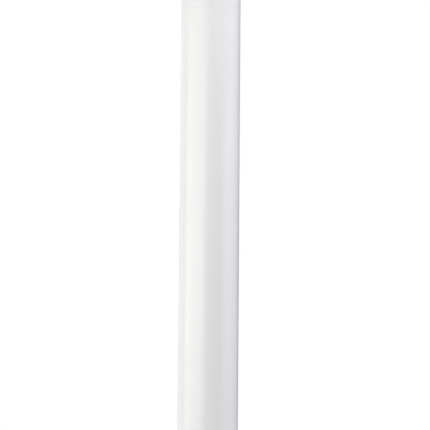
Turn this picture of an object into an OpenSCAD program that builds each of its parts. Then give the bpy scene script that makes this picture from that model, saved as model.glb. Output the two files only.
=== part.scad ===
// Telescoping white cane: a rubber-gripped upper tube, three tubes that slide into one another
// behind twist locks, a rolling tip on a ball bearing and a wrist cord with a cord lock.
// Millimetres, +Z up along the cane, origin at the tip's contact with the ground.

/* [Tubes] */
// Outer diameter of the upper tube
upper_tube_d = 17; // [16.5:0.5:18.5]
// Wall thickness of every tube
tube_wall = 0.75; // [0.6:0.05:0.8]
// Thickness of the reflective film around each tube
film_t = 0.2; // [0.1:0.05:0.3]
// Radial gap between a film and the bore of the tube above it
slide_gap = 0.25; // [0.2:0.05:0.35]
// Length of the upper tube
upper_tube_l = 400; // [380:5:460]
// How much shorter each tube is than the tube above it
tube_step_l = 36; // [34:1:50]
// Length that stays inside the tube above when the cane is fully out
overlap_l = 70; // [65:5:90]

/* [Collars] */
// Length of a collar's socket on its tube
collar_socket_l = 14; // [10:1:16]
// Length of a collar's guide lip below its tube
collar_lip_l = 3; // [2:0.5:5]
// Wall of a collar outside the film
collar_wall = 1.3; // [1:0.1:2]

/* [Twist locks] */
// Diameter of a lock's screw
screw_d = 3; // [2.5:0.5:3]
// Length of a lock's expander
expander_l = 18; // [16:1:20]
// Width of the slit that lets an expander open
slit_w = 1.6; // [1.4:0.1:2]

/* [Grip] */
// Length of the rubber grip
grip_l = 235; // [215:5:250]
// Diameter of the grip near its top
grip_top_d = 26.4; // [25:0.2:28]
// Diameter of the grip near its lower end
grip_low_d = 22.6; // [22:0.2:24]
// Distance from the cane's axis to the flat for the index finger
grip_flat_y = 9.9; // [9.6:0.1:10.4]

/* [Tip] */
// Diameter of the rolling tip
tip_d = 27; // [25:0.5:30]
// Height of the rolling tip
tip_h = 40; // [40:0.5:44]
// Diameter of the tip's flat contact with the ground
contact_d = 12; // [8:1:14]
// Number of balls in the tip's bearing
ball_count = 8; // [6:1:8]

/* [Wrist cord] */
// Diameter of the wrist cord
cord_d = 3.5; // [3:0.5:3.5]
// Radius of the loop's lower bend
loop_bend_r = 26; // [22:1:32]
// Angle at which the outer strand leaves the cord lock
loop_flare_a = 20; // [16:1:26]
// Straight double run of cord that the cord lock slides on
cord_run_l = 46; // [42:1:60]
// Distance from the cane's axis to the middle of that double run
cord_drop_x = 24; // [23:0.5:28]
// Length that the cord lock's button presses in
press_l = 3; // [2:0.5:3]

/* [Hidden] */
$fn = 72;

cut = 1;            // how far a cutter runs past the face it cuts
press_gap = 0.02;   // radial gap drawn between parts that are pressed or bonded together
run_gap = 0.06;     // radial gap of a running fit

// Tubes are numbered 0 (upper) to 3 (lowest).
last_tube = 3;
tube_step_r = tube_wall + slide_gap + film_t;
film_end_l = 25;            // bare end of a tube that never leaves the tube above
adapter_flange_l = 4.5;
adapter_rim = 0.6;          // how far the adapter's flange stands out past the film
tip_gap = 1.5;              // air between the rolling tip and the adapter
adapter_z = tip_h + tip_gap;
lowest_tube_z = adapter_z + adapter_flange_l;

function tube_r(i) = upper_tube_d / 2 - i * tube_step_r;
function bore_r(i) = tube_r(i) - tube_wall;
function film_r(i) = tube_r(i) + film_t;
function tube_l(i) = upper_tube_l - i * tube_step_l;
function tube_z(i) = i == last_tube ? lowest_tube_z : tube_top(i + 1) - overlap_l;
function tube_top(i) = tube_z(i) + tube_l(i);
function film_z(i) = tube_z(i) + (i == last_tube ? 0 : collar_socket_l);
function film_top(i) = tube_top(i) - (i == 0 ? grip_l : film_end_l);

// Collars
collar_chamfer = 0.8;
collar_film_gap = 0.2;      // air between a collar and the film above it

// Twist locks: heights are measured from the top of the lower tube.
screw_r = screw_d / 2;
screw_head_r = 0.95 * screw_d;
nut_r = 1.05 * screw_d;
screw_pass_gap = 0.1;       // radial gap where the screw passes freely
plug_l = 8;
plug_flange_l = 2;
expander_z = 2.5;
expander_base_l = 5;
expander_rim = 0.8;         // wall left at the expander's mouth
expander_gap = 0.04;        // radial gap between the locked expander and its tube
cone_seat_gap = 0.1;
cone_z = 10;
cone_proud = 1;             // how far the cone stands out of the expander
cone_top_z = expander_z + expander_l + cone_proud;
nut_lift = 2.5;             // free travel of the cone below the nut
nut_z = cone_top_z + nut_lift;
nut_l = 1.5;
screw_proud = 1;
screw_top_z = nut_z + nut_l + screw_proud;
screw_head_l = 2;
slit_base_l = 1.5;
slit_z = expander_z + expander_base_l + slit_base_l;
key_side_gap = 0.2;
key_end_gap = 0.3;
key_lift = 2;               // height of the cone's key above the foot of the slit
key_w = slit_w - 2 * key_side_gap;

function expander_r(i) = bore_r(i) - expander_gap;
cone_low_r = screw_r + 1;
function cone_slope(i) =
    (expander_r(i) - expander_rim - cone_low_r) / (expander_l - expander_base_l);
function cone_r(i, z) = cone_low_r + cone_slope(i) * (z - expander_z - expander_base_l);

// Grip and its cap
grip_z = tube_top(0) - grip_l;
grip_top_z = tube_top(0);
grip_edge_r = 2.4;
grip_lip_l = 9;
grip_lip_r = grip_low_d / 2 + 0.7;
grip_groove_w = 1.4;
grip_groove_depth = 0.6;
grip_groove_pitch = 4.2;
grip_groove_count = 3;
grip_groove_drop = 6;       // plain band above the highest groove's pitch
flat_z = 22;                // start of the finger flat above the grip's lower end
flat_l = 120;
flat_ramp_l = 16;
cap_plug_l = 18;
cap_inset = 0.3;
cap_r = grip_top_d / 2 - cap_inset;
cap_h = 14;
cap_dome_r = 17;
cap_slot_floor = 1.5;
pin_r = 2;
pin_l = 2 * cap_r - 1;
pin_h = 7.7;                // height of the pin above the grip
pin_z = grip_top_z + pin_h;

// Wrist cord: a planar loop in the XZ plane, on the -X side of the grip
cord_r = cord_d / 2;
cord_pin_gap = 0.1;
cord_wrap_r = pin_r + cord_r + cord_pin_gap;
cord_bend_r = 5;            // bend of the inner strand over the grip's edge
cord_inner_x = cord_wrap_r - cord_drop_x;
cord_outer_x = -cord_wrap_r - cord_drop_x;
cord_bend_x = cord_inner_x + cord_bend_r;
cord_bend_z = pin_z - cord_wrap_r - cord_bend_r;
cord_split_z = cord_bend_z - cord_run_l;
flare_r = 30;
flare_run_l = (loop_bend_r * (1 + cos(loop_flare_a)) - flare_r * (1 - cos(loop_flare_a))
    - 2 * cord_wrap_r) / sin(loop_flare_a);
flare_end_x = cord_outer_x - flare_r * (1 - cos(loop_flare_a));
flare_end_z = cord_split_z - flare_r * sin(loop_flare_a);
loop_z = flare_end_z - flare_run_l * cos(loop_flare_a) - loop_bend_r * sin(loop_flare_a);
splice_h = 22;              // height of the splice sleeve above the loop's centre
splice_wall = 1;
splice_z = loop_z + splice_h;
splice_l = 16;
cord_end_z = splice_z + splice_l / 2;   // the cord's two ends meet inside the splice sleeve
cord_end_gap = 0.2;
bend_swell = 0.01;          // a bend is this much thicker in radius, so that it takes the stretch's end
stretch_lap = 0.05;         // and a stretch runs this far into the bends at its ends
cap_slot_gap = 0.35;
cap_slot_w = cord_d + 2 * cap_slot_gap;

// Cord lock: a barrel whose axis runs along Y, with both strands through it
lock_r = 8.6;
lock_front_y = -5;
lock_back_y = 14;
lock_chamfer = 1.2;
lock_bore_r = 6.3;
lock_bore_end_y = 12;
lock_rest_gap = 1;          // straight cord left below the lock at rest
lock_z = cord_split_z + lock_rest_gap + lock_r;
lock_hole_gap = 0.2;
button_r = lock_bore_r - run_gap;
button_front_y = -10;
button_back_y = 3;
button_chamfer = 1;
button_hole_gap = 0.1;
spring_coil_r = 4.2;
spring_wire_r = 0.45;
spring_end_gap = 0.2;
spring_y = button_back_y + spring_end_gap;
spring_l = lock_bore_end_y - press_l - spring_y - spring_end_gap;
spring_turns = 4;

// Tip
contact_r = contact_d / 2;
tip_r = tip_d / 2;
tip_crown = 0.5;            // how far the side bulges
tip_side_r = tip_r - tip_crown;
tip_brim_l = 1;
tip_brim_r = 0.8;
tip_mouth_r = 10;
tip_shoulder_z = 24;
bearing_z = 30;
bearing_w = 5;
bearing_bore_r = 2.5;
bearing_r = 8;
bearing_mid_z = bearing_z + bearing_w / 2;
inner_shoulder_r = 4.2;
outer_shoulder_r = 6.3;
ball_r = 1.6;
ball_pitch_r = 5.25;
groove_gap = 0.05;
cage_half_w = 0.5;
cage_drop = 0.8;            // how far the cage reaches below the balls' centres
cage_l = 3.1;
stem_r = bearing_bore_r - press_gap;
stem_z = 14;
stem_side_gap = 0.12;
stem_end_gap = 1;
stem_shoulder_r = 3.6;
stem_thread_l = 17;
stem_top_z = adapter_z + stem_thread_l;
clip_groove_r = 2.2;
clip_drop = 1.2;
clip_z = bearing_z - clip_drop;
clip_t = 0.8;
clip_gap_w = 3.4;
tip_cavity_r = 6.6;
tip_cavity_z = 25;
washer_gap = 0.5;
washer_bore_gap = 0.1;
washer_z = bearing_z + bearing_w + washer_gap;
washer_l = 3;
adapter_insert_l = 16;

module ring(r_out, r_in, z, h) {
    translate([0, 0, z])
        difference() {
            cylinder(r = r_out, h = h);
            translate([0, 0, -cut]) cylinder(r = r_in, h = h + 2 * cut);
        }
}

// Tubes, films and collars

module tube(i) {
    ring(tube_r(i), bore_r(i), tube_z(i), tube_l(i));
}

module film(i) {
    ring(film_r(i), tube_r(i) + press_gap, film_z(i), film_top(i) - film_z(i));
}

module collar(i) {
    r = film_r(i) + collar_wall;
    z = tube_z(i) - collar_lip_l;
    h = collar_lip_l + collar_socket_l - collar_film_gap;
    difference() {
        translate([0, 0, z])
            rotate_extrude()
                polygon([
                    [0, 0], [r - collar_chamfer, 0], [r, collar_chamfer],
                    [r, h - 3 * collar_chamfer], [r - collar_chamfer, h], [0, h]
                ]);
        translate([0, 0, z - cut]) cylinder(r = film_r(i + 1) + run_gap, h = h);
        translate([0, 0, tube_z(i)]) cylinder(r = tube_r(i) + press_gap, h = h);
    }
}

// Twist lock between tube i and the tube below it

module lock_expander(i) {
    top = tube_top(i + 1);
    mouth_z = expander_z + expander_l;
    difference() {
        translate([0, 0, top + expander_z]) cylinder(r = expander_r(i), h = expander_l);
        translate([0, 0, top]) cylinder(r = screw_r + screw_pass_gap, h = mouth_z + cut);
        translate([0, 0, top + expander_z + expander_base_l])
            cylinder(r1 = cone_low_r, r2 = cone_r(i, mouth_z + cut), h = expander_l - expander_base_l + cut);
        translate([0, -slit_w / 2, top + slit_z]) cube([bore_r(i) + cut, slit_w, expander_l]);
    }
}

module lock_cone(i) {
    top = tube_top(i + 1);
    key_z = slit_z + key_lift;
    difference() {
        union() {
            translate([0, 0, top + cone_z])
                cylinder(
                    r1 = cone_r(i, cone_z) - cone_seat_gap,
                    r2 = cone_r(i, cone_top_z) - cone_seat_gap,
                    h = cone_top_z - cone_z
                );
            translate([0, -key_w / 2, top + key_z])
                cube([expander_r(i) - key_end_gap, key_w, expander_z + expander_l - key_z]);
        }
        translate([0, 0, top]) cylinder(r = screw_r + run_gap, h = cone_top_z + cut);
    }
}

module lock_plug(i) {
    top = tube_top(i + 1);
    difference() {
        union() {
            translate([0, 0, top - plug_l]) cylinder(r = bore_r(i + 1) - press_gap, h = plug_l + cut);
            translate([0, 0, top]) cylinder(r = tube_r(i + 1), h = plug_flange_l);
        }
        translate([0, 0, top - plug_l - cut])
            cylinder(r = screw_r + press_gap, h = plug_l + plug_flange_l + 2 * cut);
    }
}

module lock_screw(i) {
    top = tube_top(i + 1);
    translate([0, 0, top - plug_l]) cylinder(r = screw_r, h = plug_l + screw_top_z);
    translate([0, 0, top - plug_l - screw_head_l]) cylinder(r = screw_head_r, h = screw_head_l, $fn = 6);
}

module lock_nut(i) {
    translate([0, 0, tube_top(i + 1) + nut_z])
        difference() {
            cylinder(r = nut_r, h = nut_l, $fn = 6);
            translate([0, 0, -cut]) cylinder(r = screw_r + press_gap, h = nut_l + 2 * cut);
        }
}

// Grip

// Outer outline from the lower end up, as [radius, height]
function grip_outline() = concat(
    [[0, 0], [grip_lip_r - 1, 0]],
    [for (a = [15:15:90]) [grip_lip_r - 1 + sin(a), 1 - cos(a)]],
    [[grip_lip_r, grip_lip_l - 2], [grip_low_d / 2, grip_lip_l]],
    [
        for (t = [0.2:0.2:1])
            let (z = grip_lip_l + t * (grip_l - grip_edge_r - grip_lip_l))
                [grip_low_d / 2 + (grip_top_d - grip_low_d) / 2 * t * t, z]
    ],
    [
        for (a = [15:15:90])
            [grip_top_d / 2 - grip_edge_r * (1 - cos(a)), grip_l - grip_edge_r * (1 - sin(a))]
    ],
    [[0, grip_l]]
);

module finger_flat() {
    rotate([90, 0, 90])
        translate([0, 0, -grip_top_d])
            linear_extrude(height = 2 * grip_top_d)
                polygon([
                    [-grip_top_d, flat_z - flat_ramp_l], [-grip_flat_y, flat_z],
                    [-grip_flat_y, flat_z + flat_l], [-grip_top_d, flat_z + flat_l + 2 * flat_ramp_l]
                ]);
}

module grip() {
    color("dimgray")
        translate([0, 0, grip_z])
            difference() {
                rotate_extrude() polygon(grip_outline());
                translate([0, 0, -cut]) cylinder(r = tube_r(0) + press_gap, h = grip_l + 2 * cut);
                finger_flat();
                for (k = [1:grip_groove_count])
                    ring(grip_top_d, grip_top_d / 2 - grip_groove_depth,
                        grip_l - grip_groove_drop - k * grip_groove_pitch, grip_groove_w);
            }
}

module grip_cap() {
    color("black")
        difference() {
            union() {
                translate([0, 0, grip_top_z - cap_plug_l])
                    cylinder(r = bore_r(0) - press_gap, h = cap_plug_l + cut);
                intersection() {
                    translate([0, 0, grip_top_z]) cylinder(r = cap_r, h = cap_h + cut);
                    translate([0, 0, grip_top_z + cap_h - cap_dome_r]) sphere(r = cap_dome_r);
                }
            }
            translate([-cap_r - cut, -cap_slot_w / 2, grip_top_z + cap_slot_floor])
                cube([2 * (cap_r + cut), cap_slot_w, cap_h]);
            translate([0, cap_r + cut, pin_z])
                rotate([90, 0, 0]) cylinder(r = pin_r + press_gap, h = 2 * (cap_r + cut));
        }
}

module cord_pin() {
    color("silver")
        translate([0, pin_l / 2, pin_z])
            rotate([90, 0, 0]) cylinder(r = pin_r, h = pin_l);
}

module upper_tube() { color("gainsboro") tube(0); }
module upper_film() { color("white") film(0); }
module upper_collar() { color("dimgray") collar(0); }

module upper_lock_expander() { color("ivory") lock_expander(0); }
module upper_lock_cone() { color("orange") lock_cone(0); }
module upper_lock_plug() { color("slategray") lock_plug(0); }
module upper_lock_screw() { color("silver") lock_screw(0); }
module upper_lock_nut() { color("silver") lock_nut(0); }

module second_tube() { color("gainsboro") tube(1); }
module second_film() { color("white") film(1); }
module second_collar() { color("dimgray") collar(1); }

module middle_lock_expander() { color("ivory") lock_expander(1); }
module middle_lock_cone() { color("orange") lock_cone(1); }
module middle_lock_plug() { color("slategray") lock_plug(1); }
module middle_lock_screw() { color("silver") lock_screw(1); }
module middle_lock_nut() { color("silver") lock_nut(1); }

module third_tube() { color("gainsboro") tube(2); }
module third_film() { color("white") film(2); }
module third_collar() { color("dimgray") collar(2); }

module lower_lock_expander() { color("ivory") lock_expander(2); }
module lower_lock_cone() { color("orange") lock_cone(2); }
module lower_lock_plug() { color("slategray") lock_plug(2); }
module lower_lock_screw() { color("silver") lock_screw(2); }
module lower_lock_nut() { color("silver") lock_nut(2); }

module lowest_tube() { color("gainsboro") tube(3); }
module lowest_film() { color("firebrick") film(3); }

// Rolling tip

module tip_adapter() {
    flange_r = film_r(last_tube) + adapter_rim;
    color("silver")
        difference() {
            union() {
                translate([0, 0, adapter_z]) cylinder(r = flange_r, h = adapter_flange_l);
                translate([0, 0, lowest_tube_z - cut])
                    cylinder(r = bore_r(last_tube) - press_gap, h = adapter_insert_l + cut);
            }
            translate([0, 0, adapter_z - cut])
                cylinder(r = bearing_bore_r, h = adapter_flange_l + adapter_insert_l + 2 * cut);
        }
}

module tip_stem() {
    color("silver")
        difference() {
            union() {
                translate([0, 0, stem_z]) cylinder(r = stem_r, h = stem_top_z - stem_z);
                translate([0, 0, bearing_z + bearing_w])
                    cylinder(r = stem_shoulder_r, h = adapter_z - bearing_z - bearing_w);
            }
            ring(stem_r + cut, clip_groove_r, clip_z - groove_gap, clip_t + 2 * groove_gap);
        }
}

module tip_retaining_clip() {
    color("dimgray")
        difference() {
            ring(inner_shoulder_r, clip_groove_r + press_gap, clip_z, clip_t);
            translate([0, -clip_gap_w / 2, clip_z - cut])
                cube([inner_shoulder_r + cut, clip_gap_w, clip_t + 2 * cut]);
        }
}

// One race: a ring with the balls' groove turned into it
module race(r_in, r_out) {
    translate([0, 0, bearing_mid_z])
        rotate_extrude()
            difference() {
                translate([r_in, -bearing_w / 2]) square([r_out - r_in, bearing_w]);
                translate([ball_pitch_r, 0]) circle(r = ball_r + groove_gap);
            }
}

module bearing_inner_ring() { color("lightsteelblue") race(bearing_bore_r, inner_shoulder_r); }
module bearing_outer_ring() { color("lightsteelblue") race(outer_shoulder_r, bearing_r); }

module ball_ring(r) {
    for (k = [0:ball_count - 1])
        rotate([0, 0, k * 360 / ball_count])
            translate([ball_pitch_r, 0, bearing_mid_z]) sphere(r = r);
}

module bearing_balls() { color("silver") ball_ring(ball_r); }

module bearing_cage() {
    color("peru")
        difference() {
            ring(ball_pitch_r + cage_half_w, ball_pitch_r - cage_half_w, bearing_mid_z - cage_drop, cage_l);
            ball_ring(ball_r + groove_gap);
        }
}

module tip_dust_washer() {
    color("dimgray") ring(bearing_r, stem_shoulder_r + washer_bore_gap, washer_z, washer_l);
}

// Outer outline of the tip from the ground up, as [radius, height]
function tip_outline() = let (foot = tip_side_r - contact_r) concat(
    [[0, 0]],
    [for (a = [0:10:90]) [contact_r + foot * sin(a), foot * (1 - cos(a))]],
    [[tip_r, (foot + tip_shoulder_z) / 2]],
    [
        for (t = [0:0.125:1])
            let (s = (1 + cos(180 * t)) / 2)
                [tip_mouth_r + (tip_side_r - tip_mouth_r) * s,
                    tip_shoulder_z + t * (tip_h - tip_brim_l - tip_shoulder_z)]
    ],
    [[tip_mouth_r - tip_brim_r, tip_h], [0, tip_h]]
);

module rolling_tip() {
    color("whitesmoke")
        difference() {
            rotate_extrude() polygon(tip_outline());
            translate([0, 0, stem_z - stem_end_gap]) cylinder(r = stem_r + stem_side_gap, h = tip_h);
            translate([0, 0, tip_cavity_z]) cylinder(r = tip_cavity_r, h = tip_h);
            translate([0, 0, bearing_z]) cylinder(r = bearing_r + press_gap, h = tip_h);
        }
}

// Wrist cord

// A bend of the cord in the XZ plane, from angle a0 to a1 about [x, z]
module cord_bend(x, z, r, a0, a1) {
    translate([x, 0, z])
        rotate([90, 0, 0])
            rotate([0, 0, a0])
                rotate_extrude(angle = a1 - a0) translate([r, 0]) circle(r = cord_r + bend_swell);
}

// A straight stretch of the cord from [x0, z0] to [x1, z1]
module cord_stretch(x0, z0, x1, z1) {
    translate([x0, 0, z0])
        rotate([0, atan2(x1 - x0, z1 - z0), 0])
            translate([0, 0, -stretch_lap])
                cylinder(r = cord_r, h = norm([x1 - x0, z1 - z0]) + 2 * stretch_lap);
}

module wrist_cord() {
    loop_x = cord_inner_x - loop_bend_r;
    outer_bend_r = cord_bend_r + 2 * cord_wrap_r;
    loop_start_x = loop_x - loop_bend_r * cos(loop_flare_a);
    loop_start_z = loop_z + loop_bend_r * sin(loop_flare_a);
    color("darkslategray")
        union() {
            cord_bend(0, pin_z, cord_wrap_r, -90, 90);
            cord_stretch(0, pin_z + cord_wrap_r, cord_bend_x, pin_z + cord_wrap_r);
            cord_bend(cord_bend_x, cord_bend_z, outer_bend_r, 90, 180);
            cord_stretch(cord_outer_x, cord_bend_z, cord_outer_x, cord_split_z);
            cord_bend(cord_outer_x - flare_r, cord_split_z, flare_r, -loop_flare_a, 0);
            cord_stretch(flare_end_x, flare_end_z, loop_start_x, loop_start_z);
            cord_bend(loop_x, loop_z, loop_bend_r, 180 - loop_flare_a, 360);
            cord_stretch(cord_inner_x, loop_z, cord_inner_x, cord_end_z - cord_end_gap);
            cord_stretch(cord_inner_x, cord_end_z + cord_end_gap, cord_inner_x, cord_bend_z);
            cord_bend(cord_bend_x, cord_bend_z, cord_bend_r, 90, 180);
            cord_stretch(cord_bend_x, pin_z - cord_wrap_r, 0, pin_z - cord_wrap_r);
        }
}

module cord_splice_sleeve() {
    color("silver")
        translate([cord_inner_x, 0, 0]) ring(cord_r + splice_wall, cord_r + press_gap, splice_z, splice_l);
}

// Turns a shape that stands on Z so that its axis runs along +Y through the cord lock
module along_lock() {
    translate([-cord_drop_x, 0, lock_z]) rotate([-90, 0, 0]) children();
}

module lock_strand_holes(r) {
    for (x = [cord_inner_x, cord_outer_x])
        translate([x, 0, lock_z - lock_r - cut]) cylinder(r = r, h = 2 * (lock_r + cut));
}

module cord_lock_body() {
    color("black")
        difference() {
            along_lock()
                rotate_extrude()
                    polygon([
                        [0, lock_front_y], [lock_r - lock_chamfer, lock_front_y],
                        [lock_r, lock_front_y + lock_chamfer], [lock_r, lock_back_y - 2 * lock_chamfer],
                        [lock_r - 2 * lock_chamfer, lock_back_y], [0, lock_back_y]
                    ]);
            along_lock()
                translate([0, 0, lock_front_y - cut])
                    cylinder(r = lock_bore_r, h = lock_bore_end_y - lock_front_y + cut);
            lock_strand_holes(cord_r + lock_hole_gap);
        }
}

module cord_lock_button() {
    hole_w = cord_d + 2 * button_hole_gap;
    color("dimgray")
        difference() {
            along_lock()
                rotate_extrude()
                    polygon([
                        [0, button_front_y], [button_r - button_chamfer, button_front_y],
                        [button_r, button_front_y + button_chamfer], [button_r, button_back_y],
                        [0, button_back_y]
                    ]);
            for (x = [cord_inner_x, cord_outer_x])
                translate([x - hole_w / 2, -hole_w / 2 - press_l, lock_z - lock_r])
                    cube([hole_w, hole_w + press_l, 2 * lock_r]);
        }
}

// A closed coil: rings of wire points, each joined to the next, with a cap at both ends
module coil(r, wire_r, h, turns) {
    steps = 24 * turns;
    sides = 10;
    rise = h - 2 * wire_r;
    points = [
        for (k = [0:steps], s = [0:sides - 1])
            let (a = 360 * turns * k / steps, b = 360 * s / sides, q = r + wire_r * cos(b))
                [q * cos(a), q * sin(a), wire_r + rise * k / steps + wire_r * sin(b)]
    ];
    walls = [
        for (k = [0:steps - 1], s = [0:sides - 1])
            let (a = k * sides + s, b = k * sides + (s + 1) % sides)
                [a, b, b + sides, a + sides]
    ];
    start_cap = [[for (s = [sides - 1:-1:0]) s]];
    end_cap = [[for (s = [0:sides - 1]) steps * sides + s]];
    polyhedron(points = points, faces = concat(walls, start_cap, end_cap));
}

module cord_lock_spring() {
    color("silver")
        along_lock()
            translate([0, 0, spring_y]) coil(spring_coil_r, spring_wire_r, spring_l, spring_turns);
}

grip();
grip_cap();
cord_pin();
upper_tube();
upper_film();
upper_collar();
upper_lock_expander();
upper_lock_cone();
upper_lock_plug();
upper_lock_screw();
upper_lock_nut();
second_tube();
second_film();
second_collar();
middle_lock_expander();
middle_lock_cone();
middle_lock_plug();
middle_lock_screw();
middle_lock_nut();
third_tube();
third_film();
third_collar();
lower_lock_expander();
lower_lock_cone();
lower_lock_plug();
lower_lock_screw();
lower_lock_nut();
lowest_tube();
lowest_film();
tip_adapter();
tip_stem();
tip_retaining_clip();
bearing_inner_ring();
bearing_balls();
bearing_cage();
bearing_outer_ring();
tip_dust_washer();
rolling_tip();
wrist_cord();
cord_splice_sleeve();
cord_lock_body();
cord_lock_button();
cord_lock_spring();
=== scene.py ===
"""The looks of a telescoping white cane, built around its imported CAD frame.

Everything is in metres in the CAD frame: +Z runs up the cane, the origin is the tip's contact with the
ground, the wrist cord hangs on the -X side and the flat of the grip faces -Y.
"""

import math

import bmesh
import bpy
from mathutils import Matrix, Vector

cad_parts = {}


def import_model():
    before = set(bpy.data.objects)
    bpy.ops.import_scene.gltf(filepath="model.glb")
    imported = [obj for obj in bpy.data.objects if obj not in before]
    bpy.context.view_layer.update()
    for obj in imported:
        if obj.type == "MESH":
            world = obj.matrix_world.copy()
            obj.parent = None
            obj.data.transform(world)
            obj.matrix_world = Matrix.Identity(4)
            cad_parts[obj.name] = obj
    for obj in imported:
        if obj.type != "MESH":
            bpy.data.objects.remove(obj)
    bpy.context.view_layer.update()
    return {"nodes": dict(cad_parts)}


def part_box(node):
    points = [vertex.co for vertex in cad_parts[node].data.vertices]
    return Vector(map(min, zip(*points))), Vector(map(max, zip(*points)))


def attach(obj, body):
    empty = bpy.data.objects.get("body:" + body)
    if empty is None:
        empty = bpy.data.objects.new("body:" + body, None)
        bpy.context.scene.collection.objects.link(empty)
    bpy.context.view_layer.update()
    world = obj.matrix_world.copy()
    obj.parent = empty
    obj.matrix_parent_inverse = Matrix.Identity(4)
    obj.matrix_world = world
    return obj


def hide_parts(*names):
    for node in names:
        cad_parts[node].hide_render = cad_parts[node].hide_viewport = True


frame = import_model()

MM = 0.001
TURN = 2 * math.pi
ON_AXIS = 1e-4 * MM  # a point nearer the axis than this lies on it
TOUCH = 1e-3 * MM  # two places closer than this are the same


# Sizes read from the frame


def bottom(node):
    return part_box(node)[0].z


def top(node):
    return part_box(node)[1].z


def radius(node):
    """Outer radius of a node that is centred on the cane's axis."""
    low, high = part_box(node)
    return max(high.x, -low.x, high.y, -low.y)


# Shared mesh tools


def finish_mesh(name, mesh, material, slot, body, node, smooth_angle=35):
    """Turns a mesh into a shaded piece that rides on a CAD body and stands for a CAD node."""
    mesh.validate()
    for face in mesh.polygons:
        face.use_smooth = True
    mesh.set_sharp_from_angle(angle=math.radians(smooth_angle))
    mesh.materials.clear()
    mesh.materials.append(material)
    piece = bpy.data.objects.new(name, mesh)
    bpy.context.scene.collection.objects.link(piece)
    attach(piece, body)
    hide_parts(node)


NEARLY_STRAIGHT = math.radians(172)


def fillet(points, size, closed=True, steps=4):
    """Rounds each corner of an outline of (radius, height) points, except points on the axis and points
    where the outline hardly turns."""
    rounded = []
    count = len(points)
    for i, point in enumerate(points):
        here = Vector(point)
        ends = not closed and i in (0, count - 1)
        if ends or here.x < ON_AXIS:
            rounded.append(tuple(here))
            continue
        before = Vector(points[i - 1]) - here
        after = Vector(points[(i + 1) % count]) - here
        cut = min(size, before.length * 0.45, after.length * 0.45)
        start = here + before.normalized() * cut
        end = here + after.normalized() * cut
        if before.angle(after, math.pi) > NEARLY_STRAIGHT:
            rounded.append(tuple(here))
            continue
        for k in range(steps + 1):
            t = k / steps
            corner = start * (1 - t) ** 2 + here * (2 * t * (1 - t)) + end * t**2
            rounded.append(tuple(corner))
    return rounded


def lathe(outline, segments, closed=True, shape=None):
    """A mesh turned about Z from an outline of (radius, height) points.

    A closed outline makes a ring, an open one must start and end on the axis.
    shape(angle, radius, height) may return another (x, y, z) for a point.
    """
    mesh = bpy.data.meshes.new("lathe")
    work = bmesh.new()
    rows = []
    for r, z in outline:
        if r < ON_AXIS:
            rows.append([work.verts.new((0, 0, z))])
            continue
        row = []
        for k in range(segments):
            angle = TURN * k / segments
            place = (r * math.cos(angle), r * math.sin(angle), z)
            if shape:
                place = shape(angle, r, z)
            row.append(work.verts.new(place))
        rows.append(row)
    pairs = list(zip(rows, rows[1:]))
    if closed:
        pairs.append((rows[-1], rows[0]))
    for low, high in pairs:
        for k in range(segments):
            after = (k + 1) % segments
            if len(low) == 1 and len(high) == 1:
                break
            if len(low) == 1:
                work.faces.new((low[0], high[after], high[k]))
            elif len(high) == 1:
                work.faces.new((low[k], low[after], high[0]))
            else:
                work.faces.new((low[k], low[after], high[after], high[k]))
    bmesh.ops.recalc_face_normals(work, faces=work.faces)
    work.to_mesh(mesh)
    work.free()
    return mesh


def ring_outline(r_out, r_in, low, high):
    return [(r_in, low), (r_out, low), (r_out, high), (r_in, high)]


def turned(mesh, matrix):
    mesh.transform(matrix)
    return mesh


def sweep(path, side, sides, radius_at):
    """A mesh along a path. `side` is the direction that is angle 0 of every section, and
    radius_at(distance, angle) the radius there. Its UV map holds turns round and metres along."""
    mesh = bpy.data.meshes.new("sweep")
    work = bmesh.new()
    uv = work.loops.layers.uv.new("along")
    rows = []
    gone = [0.0]
    for a, b in zip(path, path[1:]):
        gone.append(gone[-1] + (b - a).length)
    for k, point in enumerate(path):
        ahead = path[min(k + 1, len(path) - 1)]
        behind = path[max(k - 1, 0)]
        along = (ahead - behind).normalized()
        up = along.cross(side)
        row = []
        for j in range(sides):
            angle = TURN * j / sides
            reach = radius_at(gone[k], angle)
            offset = side * (reach * math.cos(angle)) + up * (reach * math.sin(angle))
            row.append(work.verts.new(point + offset))
        rows.append(row)
    for k, (low, high) in enumerate(zip(rows, rows[1:])):
        for j in range(sides):
            after = (j + 1) % sides
            face = work.faces.new((low[j], low[after], high[after], high[j]))
            places = ((j, k), (j + 1, k), (j + 1, k + 1), (j, k + 1))
            for loop, (around, far) in zip(face.loops, places):
                loop[uv].uv = (around / sides, gone[far])
    work.faces.new(rows[0])
    work.faces.new(rows[-1])
    bmesh.ops.recalc_face_normals(work, faces=work.faces)
    work.to_mesh(mesh)
    work.free()
    return mesh


def carved(mesh, cutters, bevel=0.0):
    """The mesh with cutter meshes taken away and its new edges rounded."""
    scene = bpy.context.scene
    body = bpy.data.objects.new("carve_body", mesh)
    scene.collection.objects.link(body)
    tools = []
    for cutter in cutters:
        tool = bpy.data.objects.new("carve_tool", cutter)
        scene.collection.objects.link(tool)
        tools.append(tool)
        cut = body.modifiers.new("cut", "BOOLEAN")
        cut.operation = "DIFFERENCE"
        cut.solver = "EXACT"
        cut.object = tool
    if bevel:
        edge = body.modifiers.new("edge", "BEVEL")
        edge.width = bevel
        edge.segments = 3
        edge.limit_method = "ANGLE"
        edge.angle_limit = math.radians(40)
    view = bpy.context.evaluated_depsgraph_get()
    result = bpy.data.meshes.new_from_object(body.evaluated_get(view))
    for item in [body] + tools:
        bpy.data.objects.remove(item)
    return result


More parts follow.
